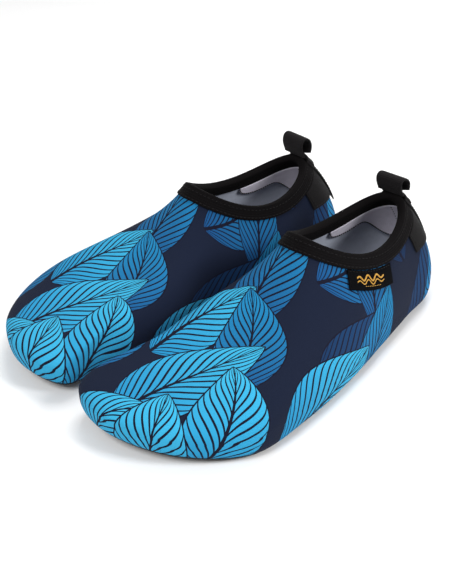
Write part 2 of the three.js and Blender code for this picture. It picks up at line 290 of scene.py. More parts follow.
def stitches(name, path, normals, side, length=2.6, gap=0.9, radius=0.3, zigzag=0.0):
    """A run of sewing stitches along a path: short threads that dive into the cloth at both ends."""
    run = run_along(path)
    count = max(1, int(run[-1] // (length + gap)))
    middles = (np.arange(count) + 0.5) * run[-1] / count

    def at(where, values):
        return np.stack([np.interp(where, run, values[:, k]) for k in range(3)], -1)

    half = length / 2
    start, end = at(middles - half, path), at(middles + half, path)
    normal = unit(at(middles, normals))
    along = end - start
    if zigzag:
        across = unit(np.cross(normal, along)) * zigzag
        swing = np.where(np.arange(count) % 2 == 0, 1, -1)[:, None] * across
        start, end = start - swing, end + swing
        along = end - start
    across = unit(np.cross(normal, along))
    sides, rings = 6, np.linspace(-1, 1, 7)
    points = []
    for place in rings:
        width = radius * math.sqrt(max(0.04, 1 - place**4))
        lift = radius * (0.55 - 1.1 * place**4)
        centre = (start + end) / 2 + along * (place / 2) + normal * lift
        for k in range(sides):
            angle = 2 * math.pi * k / sides
            points.append(centre + normal * width * math.sin(angle) + across * width * math.cos(angle))
    points = np.stack(points, 1)
    faces = []
    for k in range(count):
        faces += prism_faces(len(rings), sides, k * len(rings) * sides)
    return weld(mesh_object(name, to_world(points.reshape(-1, 3), side), faces), 0)


def bar_tack(name, path, normals, side):
    """A short, dense zigzag that holds the end of a tape."""
    return stitches(name, path, normals, side, length=0.5, gap=0.15, radius=0.2, zigzag=0.7)


def normals_at(u, distance):
    return unit(at_depth(u, distance, -1) - at_depth(u, distance, 1))


# ---- The upper's cutting pattern: its face unrolled with the least stretch, in millimetres ----
PATTERN_U = 0.5 + np.linspace(0, 1, 73)  # from the seam at the back, round the toe, to the seam again
PATTERN_V = np.concatenate([np.linspace(-1, -0.15, 4), np.linspace(0, 1, 37)])


def unrolled():
    """Where the pattern's grid lies when it is flat, with the throat at (0, 0) and the toe at -Y."""
    points = skin(PATTERN_U[None, :], PATTERN_V[:, None])
    rows, columns = points.shape[:2]
    blank = np.zeros((4 * (rows - 1) * (columns - 1), 2))
    piece = mesh_object("pattern", points, quads(rows, columns), [("flat", blank)])
    for other in bpy.context.selected_objects:
        other.select_set(False)
    bpy.context.view_layer.objects.active = piece
    piece.select_set(True)
    bpy.ops.object.mode_set(mode="EDIT")
    bpy.ops.mesh.select_all(action="SELECT")
    bpy.ops.uv.unwrap(method="MINIMUM_STRETCH", margin=0, iterations=20)
    bpy.ops.object.mode_set(mode="OBJECT")
    loops = len(piece.data.loops)
    corners, owners = np.zeros(loops * 2), np.zeros(loops, int)
    piece.data.uv_layers[0].data.foreach_get("uv", corners)
    piece.data.loops.foreach_get("vertex_index", owners)
    flat = np.zeros((rows * columns, 2))
    flat[owners] = corners.reshape(-1, 2)
    flat = flat.reshape(rows, columns, 2)
    bpy.data.objects.remove(piece)
    steps = np.linalg.norm(np.diff(flat, axis=1), axis=-1)
    true_steps = np.linalg.norm(np.diff(points, axis=1), axis=-1)
    flat *= (true_steps * steps).sum() / (steps**2).sum()
    near_toe = np.exp(-(((points[..., 1] + 60) / 60) ** 2))[..., None]
    centred = flat - (flat * near_toe).sum((0, 1)) / near_toe.sum()
    plan = points[..., :2] - (points[..., :2] * near_toe).sum((0, 1)) / near_toe.sum()
    first, _, second = np.linalg.svd((centred * near_toe).reshape(-1, 2).T @ plan.reshape(-1, 2))
    flat = flat @ (first @ second)
    return flat - flat[-1, columns // 2]


PATTERN = unrolled()


def pattern_at(turn, v):
    """The flat place of points at turn, which runs from 0.5 at the back to 1.5, and v."""
    a = np.interp(turn, PATTERN_U, np.arange(len(PATTERN_U)))
    b = np.interp(v, PATTERN_V, np.arange(len(PATTERN_V)))
    i, j = np.minimum(a.astype(int), len(PATTERN_U) - 2), np.minimum(b.astype(int), len(PATTERN_V) - 2)
    a, b = (a - i)[..., None], (b - j)[..., None]
    low = PATTERN[j, i] * (1 - a) + PATTERN[j, i + 1] * a
    high = PATTERN[j + 1, i] * (1 - a) + PATTERN[j + 1, i + 1] * a
    return low * (1 - b) + high * b


# ---- The pieces of a shoe, one function each ----
UPPER = (0, 1.6)
LINING = (1.9, 2.9)
HEEL_LINING = (3.8, 4.6)
BINDING_OUTER_LEG, BINDING_INNER_LEG = (-1.4, -0.3), (3.2, 4.3)
PATCH, LABEL, TAPE = (-1.4, -0.5), (-1.4, -0.5), (-2.9, -1.8)
UNDER_BINDING = BINDING_WIDTH + 0.2
HEEL_WRAP = 330  # millimetres round the shoe for each unit of u, near the heel


def shell_rows(body_rows):
    hem = np.linspace(0, 1, 17)[:-1]
    return np.concatenate([hem**2 * (3 - 2 * hem) - 1, np.linspace(0, 1, body_rows)])


def shell(name, depths, side, around, body_rows):
    turn = 0.5 + np.linspace(0, 1, around + 1)[None, :]
    v = shell_rows(body_rows)[:, None]
    section = np.concatenate([layer(turn, v, depths[0]), layer(turn, v, depths[1])[::-1]])
    flat = pattern_at(*np.broadcast_arrays(turn, v))
    flat = np.concatenate([flat, flat[::-1]]) * (side, 1)
    return ring(name, section, side, {"Print": flat})


def finish(piece, side, material, replaces=(), rides=True):
    """Gives a piece its material, its CAD body and the CAD nodes that it stands for."""
    piece.data.materials.append(material)
    if rides:
        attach(piece, BODY[side])
    if replaces:
        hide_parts(*(f"{side}_{node}" for node in replaces))


def upper(side):
    piece = shell(f"{side}_upper_cloth", UPPER, SIDES[side], 216, 96)
    finish(piece, side, LEAF_PRINT, ["upper"])


def lining(side):
    piece = shell(f"{side}_lining_cloth", LINING, SIDES[side], 144, 60)
    finish(piece, side, LINING_KNIT, ["lining"])


HEEL_LINING_SPAN = 0.145  # on each side of the heel's centre, in u
HEEL_LINING_SHELF = 8  # below the binding, along the sides
HEEL_LINING_POCKET = 27  # further down, at the centre


def heel_lining_bottom(u):
    x = np.abs(u - 0.5) / HEEL_LINING_SPAN
    dip = np.clip((0.62 - x) / 0.42, 0, 1)
    shelf = HEEL_LINING_SHELF * np.sqrt(np.clip(1 - x**8, 0, 1))
    return UNDER_BINDING + 2 + shelf + HEEL_LINING_POCKET * dip**2 * (3 - 2 * dip)


def heel_lining(side):
    middle = sum(HEEL_LINING) / 2

    def place(a, b, height):
        u = 0.5 + HEEL_LINING_SPAN * (2 * a - 1)
        bottom = heel_lining_bottom(u)
        return at_depth(u, UNDER_BINDING + (bottom - UNDER_BINDING) * b, middle + height)

    piece = panel(f"{side}_heel_pocket_lining", place, (86, 44), (90, 40), 0.8, SIDES[side])
    finish(piece, side, HEEL_KNIT, ["heel_lining"])
    u = 0.5 + HEEL_LINING_SPAN * np.linspace(-1, 1, 400)
    edge = heel_lining_bottom(u) - 0.9
    seam = stitches(f"{side}_heel_pocket_seam", at_depth(u, edge, HEEL_LINING[1]), -normals_at(u, edge),
                    SIDES[side], length=1.5, gap=0.25, radius=0.42)
    finish(seam, side, THREAD)
    for label, shift in (("a", -6.5), ("b", 6.5)):
        down = np.linspace(UNDER_BINDING + 1, 40, 60)
        u = 0.5 + shift / HEEL_WRAP
        run = stitches(f"{side}_heel_tape_stitches_inside_{label}", at_depth(u, down, HEEL_LINING[1]),
                       -normals_at(u, down), SIDES[side], length=1.7, gap=1.1, radius=0.22)
        finish(run, side, THREAD)


RIB_PITCH, RIB_HEIGHT = 1.5, 0.09


def binding_section():
    """The folded elastic's closed section: distance below the collar edge and depth, in millimetres."""
    outer, inner = BINDING_OUTER_LEG, BINDING_INNER_LEG
    lip = (outer[1] - outer[0]) / 2
    run = np.linspace(BINDING_WIDTH - lip, 0, 40)
    rib = RIB_HEIGHT * np.cos(2 * math.pi * run / RIB_PITCH) * np.clip(run, 0, 1)
    half_turn = np.linspace(0, math.pi, 15)[1:-1]
    lip_turn = np.linspace(0, math.pi, 7)[1:-1]
    middle = (outer[0] + inner[1]) / 2
    wide, narrow = (inner[1] - outer[0]) / 2, (inner[0] - outer[1]) / 2
    over = [(-1.5 * math.sin(t), middle - wide * math.cos(t)) for t in half_turn]
    under = [(-0.3 * math.sin(t), middle + narrow * math.cos(t)) for t in half_turn]
    inner_lip = [(run[0] + lip * math.sin(t), sum(inner) / 2 + lip * math.cos(t)) for t in lip_turn]
    outer_lip = [(run[0] + lip * math.sin(t), sum(outer) / 2 + lip * math.cos(t)) for t in lip_turn]
    plain = np.linspace(BINDING_WIDTH - lip, 0, 6)
    return np.array([
        *zip(run, outer[0] - rib), *over, *zip(run[::-1], inner[1] + rib[::-1]), *inner_lip,
        *((s, inner[0]) for s in plain), *under, *((s, outer[1]) for s in plain[::-1]), *outer_lip,
    ])


def collar_binding(side):
    section = binding_section()
    turn = np.linspace(0, 1, 289)[None, :]
    distance, depth = section[:, :1], section[:, 1:]
    up = unit(along_skin(turn, np.ones_like(turn)))
    points = at_depth(turn, np.maximum(distance, 0), depth) + up * np.maximum(-distance, 0)[..., None]
    girth = np.linalg.norm(np.diff(collar_point(turn[0]), axis=0), axis=1).sum()
    weave = np.stack(np.broadcast_arrays(turn * girth, run_along(section)[:, None]), -1)
    piece = ring(f"{side}_collar_elastic", points, SIDES[side], {"Weave": weave})
    finish(piece, side, ELASTIC, ["collar_binding"])
    turn = np.linspace(0, 1, 600)
    outside, inside = (BINDING_OUTER_LEG[0], 1), (BINDING_INNER_LEG[1], -1)
    rows = (("outside_low", 7.6, *outside), ("outside_high", 2.1, *outside), ("inside_low", 7.6, *inside))
    for label, distance, depth, way in rows:
        run = stitches(f"{side}_collar_stitches_{label}", at_depth(turn, distance, depth),
                       way * normals_at(turn, distance), SIDES[side], length=2.1, gap=0.8, radius=0.2)
        finish(run, side, THREAD)


PATCH_SPAN = 0.1  # on each side of the heel's centre, in u
PATCH_BOTTOM = 40
PATCH_RISE = 200  # how much shallower the patch gets for each unit of u away from the heel


def patch_bottom(u):
    rounding = 2e-4
    return PATCH_BOTTOM - PATCH_RISE * (np.sqrt((u - 0.5) ** 2 + rounding) - math.sqrt(rounding))


def heel_patch(side):
    middle = sum(PATCH) / 2

    def place(a, b, height):
        u = 0.5 + PATCH_SPAN * (2 * a - 1)
        bottom = patch_bottom(u)
        return at_depth(u, UNDER_BINDING + (bottom - UNDER_BINDING) * b, middle - height)

    piece = panel(f"{side}_heel_patch_cloth", place, (66, 15), (80, 20), 0.9, SIDES[side])
    finish(piece, side, BLACK_KNIT, ["heel_patch"])
    u = 0.5 + (PATCH_SPAN - 0.006) * np.linspace(-1, 1, 200)
    edge = patch_bottom(u) - 1.7
    first, last = (np.linspace(UNDER_BINDING + 0.5, edge[end], 40) for end in (0, -1))
    u = np.concatenate([np.full(40, u[0]), u, np.full(40, u[-1])])
    down = np.concatenate([first, edge, last[::-1]])
    run = stitches(f"{side}_heel_patch_stitches", at_depth(u, down, PATCH[0]), normals_at(u, down),
                   SIDES[side], length=2.1, gap=0.8, radius=0.22)
    finish(run, side, THREAD)


TAPE_WIDTH, TAPE_TOP, TAPE_BOTTOM = 20, 1, 46


def heel_line(across, distance, depth):
    """A point of the heel, millimetres across from its centre line."""
    step = 1e-3
    beside = at_depth(0.5 + step, distance, depth) - at_depth(0.5 - step, distance, depth)
    wide = np.linalg.norm(beside, axis=-1)
    return at_depth(0.5 + across * 2 * step / wide, distance, depth)


WEBBING_RIB_PITCH, WEBBING_RIB_HEIGHT = 1.0, 0.07
SELVEDGE, SELVEDGE_FADE = 1.2, 0.6


def webbing_ribs(across, along):
    """Fine ribs across the tape, with a flatter selvedge at both edges."""
    share = np.clip(np.minimum(across, TAPE_WIDTH - across) - SELVEDGE, 0, SELVEDGE_FADE) / SELVEDGE_FADE
    return WEBBING_RIB_HEIGHT * np.cos(2 * math.pi * along / WEBBING_RIB_PITCH) * share


def heel_tape(side):
    middle, length = sum(TAPE) / 2, TAPE_BOTTOM - TAPE_TOP

    def place(a, b, height):
        return heel_line(TAPE_WIDTH * (a - 0.5), TAPE_TOP + length * b, middle - height)

    piece = panel(f"{side}_heel_webbing", place, (TAPE_WIDTH, length), (36, 280), 1.1, SIDES[side],
                  webbing_ribs)
    finish(piece, side, WEBBING, ["heel_tape"])
    for label, across in (("a", -8), ("b", 8)):
        down = np.linspace(11, TAPE_BOTTOM - 1.5, 120)
        run = stitches(f"{side}_webbing_stitches_{label}", heel_line(across, down, TAPE[0]),
                       normals_at(np.full(len(down), 0.5 + across / HEEL_WRAP), down), SIDES[side],
                       length=2.2, gap=0.8, radius=0.24)
        finish(run, side, THREAD)
    for label, distance in (("top", 11), ("bottom", TAPE_BOTTOM - 2.2)):
        across = np.linspace(-8, 8, 60)
        level = np.full(len(across), distance)
        run = bar_tack(f"{side}_webbing_bar_tack_{label}", heel_line(across, level, TAPE[0]),
                       normals_at(0.5 + across / HEEL_WRAP, level), SIDES[side])
        finish(run, side, THREAD)


def back_seam(side):
    """The flat seam that closes the upper below the webbing."""
    v = np.linspace(below_collar(0.5, TAPE_BOTTOM + 1), -0.5, 200)
    u = np.full(len(v), 0.5)
    normals = unit(layer(u, v, -1) - layer(u, v, 1))
    run = stitches(f"{side}_back_seam", layer(u, v, UPPER[0]), normals, SIDES[side],
                   length=0.6, gap=0.75, radius=0.2, zigzag=1.7)
    finish(run, side, THREAD)


LOOP_WIDTH, LOOP_DEPTH, LOOP_TAPE = 20, 11.5, 1.3
LOOP_HEIGHT = {"left": 12.8, "right": 15}  # the left shoe's loop has been pushed down a little
LOOP_LEAN = {"left": 2.6, "right": 1.4}
LOOP_BASE = 2.2  # above the collar edge
LOOP_TAIL = 9  # how far the loop's tape runs down over the heel webbing


def strap_line(side):
    """Centre line of the loop's tape in the middle plane: up over the heel webbing, round and back."""
    top = collar_point(0.5)
    tail = at_depth(0.5, np.linspace(LOOP_TAIL, 1.5, 8), TAPE[0] - LOOP_TAPE / 2 - 0.1)[:, 1:]
    turn = np.linspace(0.16, 1 - 0.16, 30) * 2 * math.pi
    rise = (1 - np.cos(turn)) / 2
    wide, tall = LOOP_DEPTH - LOOP_TAPE, LOOP_HEIGHT[side] - LOOP_TAPE / 2
    y = wide / 2 * np.sin(turn) * rise**0.2 - LOOP_LEAN[side] * rise**2
    loop = np.stack([top[1] - 1 + y, top[2] + LOOP_BASE + tall * rise], -1)
    end = np.array([[top[1] - 1 - 2 * LOOP_TAPE, top[2] + LOOP_BASE + 0.7]])
    start = np.array([[top[1] - 1 + LOOP_TAPE * 0.75, top[2] + LOOP_BASE + 0.9]])
    points = np.concatenate([tail, start, loop, end])
    for _ in range(3):  # rounds the corners where the tail turns up into the loop
        points[1:-1] = (points[:-2] + 2 * points[1:-1] + points[2:]) / 4
    return run_along(points), points


def pull_loop(side):
    run, points = strap_line(side)
    length = run[-1]
    tail_share = LOOP_TAIL / length

    def on_line(b):
        return np.stack([np.interp(b * length, run, points[:, k]) for k in (0, 1)], -1)

    def place(a, b, height):
        centre = on_line(b)
        along = unit(on_line(np.minimum(b + 0.01, 1)) - on_line(np.maximum(b - 0.01, 0)))
        outward = np.stack([along[..., 1], -along[..., 0]], -1)
        across = LOOP_WIDTH * (a - 0.5)
        centre = centre + outward * height[..., None]
        # the tail follows the curve of the heel, and the loop above it is straight across
        down = np.maximum(LOOP_TAIL - b * length, 1.5)
        curve = heel_line(across, down, TAPE[0]) - heel_line(0 * across, down, TAPE[0])
        wrap = np.clip((LOOP_TAIL + 3 - b * length) / 3, 0, 1)
        flat = np.stack([across, 0 * across, 0 * across], -1)
        middle = np.stack([0 * across, centre[..., 0], centre[..., 1]], -1)
        return middle + flat + (curve - flat) * wrap[..., None]

    piece = panel(f"{side}_pull_loop_webbing", place, (LOOP_WIDTH, length), (36, 340), LOOP_TAPE,
                  SIDES[side], webbing_ribs)
    pieces = [piece]
    across = np.linspace(-8.3, 8.3, 80)
    for label, share in (("low", tail_share * 0.12), ("high", tail_share * 0.8)):
        b = np.full(len(across), share)
        a = across / LOOP_WIDTH + 0.5
        face = place(a, b, np.full(len(a), LOOP_TAPE / 2))
        normals = unit(face - place(a, b, np.zeros(len(a))))
        pieces.append(bar_tack(f"{side}_loop_bar_tack_{label}", face, normals, SIDES[side]))
    for piece, material in zip(pieces, (WEBBING, THREAD, THREAD)):
        finish(piece, side, material, ["pull_loop"] if piece is pieces[0] else (), False)
        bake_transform(piece)


LABEL_TOP, LABEL_BOTTOM = BINDING_WIDTH + 0.35, 22
LABEL_LOWER, LABEL_UPPER = (0.239, 0.334), (0.232, 0.335)
LABEL_SIZE = (38, LABEL_BOTTOM - LABEL_TOP)


def label_place(a, b, height):
    low = LABEL_LOWER[0] + (LABEL_LOWER[1] - LABEL_LOWER[0]) * a
    high = LABEL_UPPER[0] + (LABEL_UPPER[1] - LABEL_UPPER[0]) * a
    distance = LABEL_TOP + (LABEL_BOTTOM - LABEL_TOP) * b
    return at_depth(high + (low - high) * b, distance, sum(LABEL) / 2 - height)


def on_label(a, b):
    face = label_place(a, b, np.full(len(a), 0.45))
    return face, unit(face - label_place(a, b, np.zeros(len(a))))


def side_label(side):
    """A woven label, sewn along its top edge only, with two gold waves and a dashed line."""
    cloth = panel(f"{side}_woven_label", label_place, LABEL_SIZE, (60, 26), 0.9, SIDES[side])
    pieces = [(cloth, LABEL_SATIN)]
    a = np.linspace(0.03, 0.97, 120)
    sewn = stitches(f"{side}_label_stitches", *on_label(a, np.full(len(a), 0.09)), SIDES[side],
                    length=1.6, gap=0.8, radius=0.18)
    pieces.append((sewn, THREAD))
    a = np.linspace(0.2, 0.8, 300)
    across = (a - a[0]) / (a[-1] - a[0])
    swell = np.sin(math.pi * across) ** 0.5
    for name, middle, height, width in (("upper", 0.4, 0.15, 0.62), ("lower", 0.6, 0.12, 0.4)):
        b = middle - height * swell * np.sin(across * 3 * 2 * math.pi)
        wave = stitches(f"{side}_label_wave_{name}", *on_label(a, b), SIDES[side],
                        length=0.2, gap=0.06, radius=0.15, zigzag=width)
        pieces.append((wave, GOLD_THREAD))
    a = np.linspace(0.36, 0.72, 100)
    dashes = stitches(f"{side}_label_dashes", *on_label(a, np.full(len(a), 0.8)), SIDES[side],
                      length=1.0, gap=0.55, radius=0.22)
    pieces.append((dashes, GOLD_THREAD))
    corners = [label_place(np.array(a), np.array(b), np.array(0.0)) for a, b in ((0.5, 0.1), (0.5, 1.0))]
    top, bottom = (to_world(corner, SIDES[side]) for corner in corners)
    down = unit(bottom - top)
    start, end = top - down * 0.4 * MM, top + down * 2.6 * MM
    for piece, material in pieces:
        finish(piece, side, material, ["side_label"] if piece is cloth else (), False)
        tuple(start)
        tuple(end)
        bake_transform(piece)


SPINE_FRONT, SPINE_BACK = -88, 98  # ends of the line that the flat layers shrink onto


def spine_points(edge):
    """A point of the spine for each point round the edge; points across from each other share one."""
    y = np.clip((edge[:, 1] + edge[::-1, 1]) / 2, SPINE_FRONT, SPINE_BACK)
    middle = np.interp(y, (SPINE_FRONT, -30, 50, SPINE_BACK), (-1, 4, 2, 0))
    return np.stack([middle, y], -1)


FLAT_AROUND = 180
FLAT_FILL = (1, 0.86, 0.65, 0.4, 0.2, 0.08)  # shares of the way from the edge to the spine


def flat_layer(name, profile, side):
    """A flat layer of the bottom. profile is its edge, from its lower face round to its upper one, as
    (distance inside the widest line, height)."""
    turn = np.linspace(0, 1, FLAT_AROUND + 1)
    edge, inward = outline_point(turn), inward_direction(turn)
    spine = spine_points(edge)
    rows = []
    (first_inset, low), (last_inset, high) = profile[0], profile[-1]
    for share in FLAT_FILL:
        rows.append((edge + inward * first_inset) * (1 - share) + spine * share)
    heights = [low] * len(FLAT_FILL)
    for inset, height in profile:
        rows.append(edge + inward * inset)
        heights.append(height)
    for share in FLAT_FILL[::-1]:
        rows.append((edge + inward * last_inset) * (1 - share) + spine * share)
        heights.append(high)
    rows = np.stack(rows)
    lifted = np.array(heights)[:, None] + toe_lift(rows[..., 1])
    points = np.concatenate([rows, lifted[..., None]], -1)
    count, columns = points.shape[:2]
    faces = quads(count, columns)
    uv = points[..., :2].reshape(-1, 2)[faces].reshape(-1, 2)
    return weld(mesh_object(name, to_world(points, side), faces, [("Weave", uv)]), 5e-6)


def rounded(inset, low, high, radius):
    """The profile of a layer with both edges rounded."""
    turn = np.linspace(0, math.pi / 2, 5)
    lower = [(inset + radius * (1 - math.sin(t)), low + radius * (1 - math.cos(t))) for t in turn]
    upper = [(inset + radius * (1 - math.cos(t)), high - radius * (1 - math.sin(t))) for t in turn]
    return lower + upper


SOLE_INSET, SOLE_TOP = 5, 2.2
TREAD_HEIGHT = 0.9
LUG_PITCH, LUG_RADIUS = 7.0, 3.2
LUG_ROWS = (-102, 124)
GROOVE_PITCH, FOREFOOT_GROOVE, HEEL_GROOVE = 11, -68, 66


def tread(side):
    """Hexagonal lugs under the sole, left out where it flexes and near its edge."""
    turn = np.linspace(0, 1, 721)
    edge = outline_point(turn)
    outer, inner = edge[:361], edge[360:][::-1]
    grooves = [FOREFOOT_GROOVE + GROOVE_PITCH * i for i in range(5)]
    grooves += [HEEL_GROOVE + GROOVE_PITCH * i for i in range(4)]
    points, faces = [], []
    corner = np.arange(6) * math.pi / 3
    for row, y in enumerate(np.arange(LUG_ROWS[0], LUG_ROWS[1], LUG_PITCH * math.sqrt(3) / 2)):
        if min(abs(y - groove) for groove in grooves) < 1.4:
            continue
        right = np.interp(y, outer[:, 1], outer[:, 0]) - SOLE_INSET - LUG_RADIUS - 1.6
        left = np.interp(y, inner[:, 1], inner[:, 0]) + SOLE_INSET + LUG_RADIUS + 1.6
        for x in np.arange(-60 + row % 2 * LUG_PITCH / 2, 62, LUG_PITCH):
            if not left < x < right:
                continue
            base = len(points)
            for radius, z in ((LUG_RADIUS, SOLE_TOP / 2), (LUG_RADIUS, 0.35), (LUG_RADIUS - 0.4, 0)):
                for angle in corner:
                    across, along = x + radius * math.sin(angle), y + radius * math.cos(angle)
                    points.append((across, along, z + toe_lift(np.array(along))))
            faces += prism_faces(3, 6, base)
    piece = weld(mesh_object(f"{side}_sole_lugs", to_world(np.array(points), SIDES[side]), faces), 0)
    for polygon in piece.data.polygons:
        polygon.use_smooth = False
    finish(piece, side, RUBBER)


def outsole(side):
    profile = rounded(SOLE_INSET, TREAD_HEIGHT, SOLE_TOP, 0.5)
    lip = [(SOLE_INSET - 0.9, SOLE_TOP - 0.5), (SOLE_INSET - 1.2, SOLE_TOP + 0.2)]
    lip += [(SOLE_INSET - 0.8, SOLE_TOP + 0.3)]
    piece = flat_layer(f"{side}_rubber_outsole", profile[:6] + lip + profile[-1:], SIDES[side])
    finish(piece, side, RUBBER, ["outsole"])
    tread(side)


def strobel_board(side):
    piece = flat_layer(f"{side}_strobel_cloth", rounded(9.6, 2.5, 3.3, 0.35), SIDES[side])
    finish(piece, side, FELT, ["strobel_board"])


def insole(side):
    foam_edge = [(9.8, 3.6), (9.7, 5.6), (9.3, 5.9), (6.2, 6.1), (5.4, 6.8), (5.0, 8.0),
                 (5.0, 9.6), (5.4, 10.6), (6.0, 10.9), (7.2, 10.4), (9.5, 9.8), (12, 9.6)]
    foam = flat_layer(f"{side}_insole_foam_bed", foam_edge, SIDES[side])
    finish(foam, side, FOAM, ["insole_foam"])
    cover_edge = [(12, 9.9), (9.5, 10.1), (7.2, 10.7), (6.0, 11.2), (5.3, 11.1), (5.0, 11.4),
                  (5.3, 11.8), (6.1, 11.9), (7.4, 11.3), (9.6, 10.7), (12, 10.5)]
    cover = flat_layer(f"{side}_insole_cloth", cover_edge, SIDES[side])
    finish(cover, side, FOOT_CLOTH, ["insole_cover"])


# ---- Materials ----
def linear(red, green, blue):
    """An sRGB colour, 0 to 255, as the linear RGBA that nodes take."""
    shares = (channel / 255 for channel in (red, green, blue))
    return (*(s / 12.92 if s <= 0.04045 else ((s + 0.055) / 1.055) ** 2.4 for s in shares), 1)


def node(tree, kind, inputs=None, **settings):
    made = tree.nodes.new("ShaderNode" + kind)
    for key, value in settings.items():
        setattr(made, key, value)
    for key, value in (inputs or {}).items():
        if isinstance(value, bpy.types.NodeSocket):
            tree.links.new(value, made.inputs[key])
        else:
            made.inputs[key].default_value = value
    return made


def calc(tree, operation, a, b=0.0, clamp=False):
    return node(tree, "Math", {0: a, 1: b}, operation=operation, use_clamp=clamp).outputs[0]


def mix_colour(tree, share, a, b):
    made = node(tree, "Mix", {0: share}, data_type="RGBA", blend_type="MIX")
    for socket, value in ((made.inputs[6], a), (made.inputs[7], b)):
        if isinstance(value, bpy.types.NodeSocket):
            tree.links.new(value, socket)
        else:
            socket.default_value = value
    return made.outputs[2]


def new_material(name, roughness, sheen=0.0, specular=0.5, sheen_roughness=0.5):
    material = bpy.data.materials.new(name)
    material.use_nodes = True
    shader = material.node_tree.nodes["Principled BSDF"]
    shader.inputs["Roughness"].default_value = roughness
    shader.inputs["Sheen Weight"].default_value = sheen
    shader.inputs["Sheen Roughness"].default_value = sheen_roughness
    shader.inputs["Specular IOR Level"].default_value = specular
    return material, material.node_tree, shader


def uv_place(tree, title):
    return node(tree, "UVMap", uv_map=title).outputs[0]


def rest_place(tree):
    """The point of the piece in the pair's frame, which goes with it when it moves."""
    return node(tree, "TexCoord").outputs["Object"]


def bump(tree, shader, height, depth):
    """Raises the surface by height, from 0 to 1, times a depth in metres."""
    made = node(tree, "Bump", {"Height": height, "Strength": 1.0, "Distance": depth})
    tree.links.new(made.outputs[0], shader.inputs["Normal"])


def knit_height(tree, place, stitch):
    """The face of a fine knit: interlocking rows of small stitches. place is in millimetres."""
    parts = node(tree, "SeparateXYZ", {0: place})
    wale = calc(tree, "PINGPONG", parts.outputs[0], stitch / 2)
    lean = calc(tree, "MULTIPLY", wale, 1.4)
    course = calc(tree, "ADD", parts.outputs[1], lean)
    rounded_course = calc(tree, "PINGPONG", course, stitch * 0.4)
    return calc(tree, "ADD", calc(tree, "MULTIPLY", wale, 1 / stitch), rounded_course)


def mottled(tree, colour, change, scale, place=None):
    """A colour that varies a little in lightness, as dyed cloth does."""
    noise = node(tree, "TexNoise", {"Vector": place or rest_place(tree), "Scale": scale, "Detail": 4.0})
    factor = calc(tree, "ADD", calc(tree, "MULTIPLY", noise.outputs[0], 2 * change), 1 - change)
    made = node(tree, "HueSaturation", {"Color": colour, "Value": factor})
    return made.outputs[0]


def knit_material(name, colour, roughness, stitch, depth, sheen, title="Weave"):
    material, tree, shader = new_material(name, roughness, sheen, 0.12)
    colour = mottled(tree, colour, 0.12, 260)
    tree.links.new(mottled(tree, colour, 0.06, 2500), shader.inputs["Base Color"])
    bump(tree, shader, knit_height(tree, uv_place(tree, title), stitch), depth)
    return material


DYE_STRENGTH = 0.74


def dye(red, green, blue):
    """A printed colour: how the sRGB shade looks on the knit, which drinks part of the light."""
    colour = linear(red, green, blue)
    return (*(DYE_STRENGTH * channel for channel in colour[:3]), 1)


INK = dye(25, 26, 44)
NIGHT = dye(27, 35, 56)
LEAF_VALUES = ("Bend", "Half", "Power", "Veins", "Sweep", "Rib")


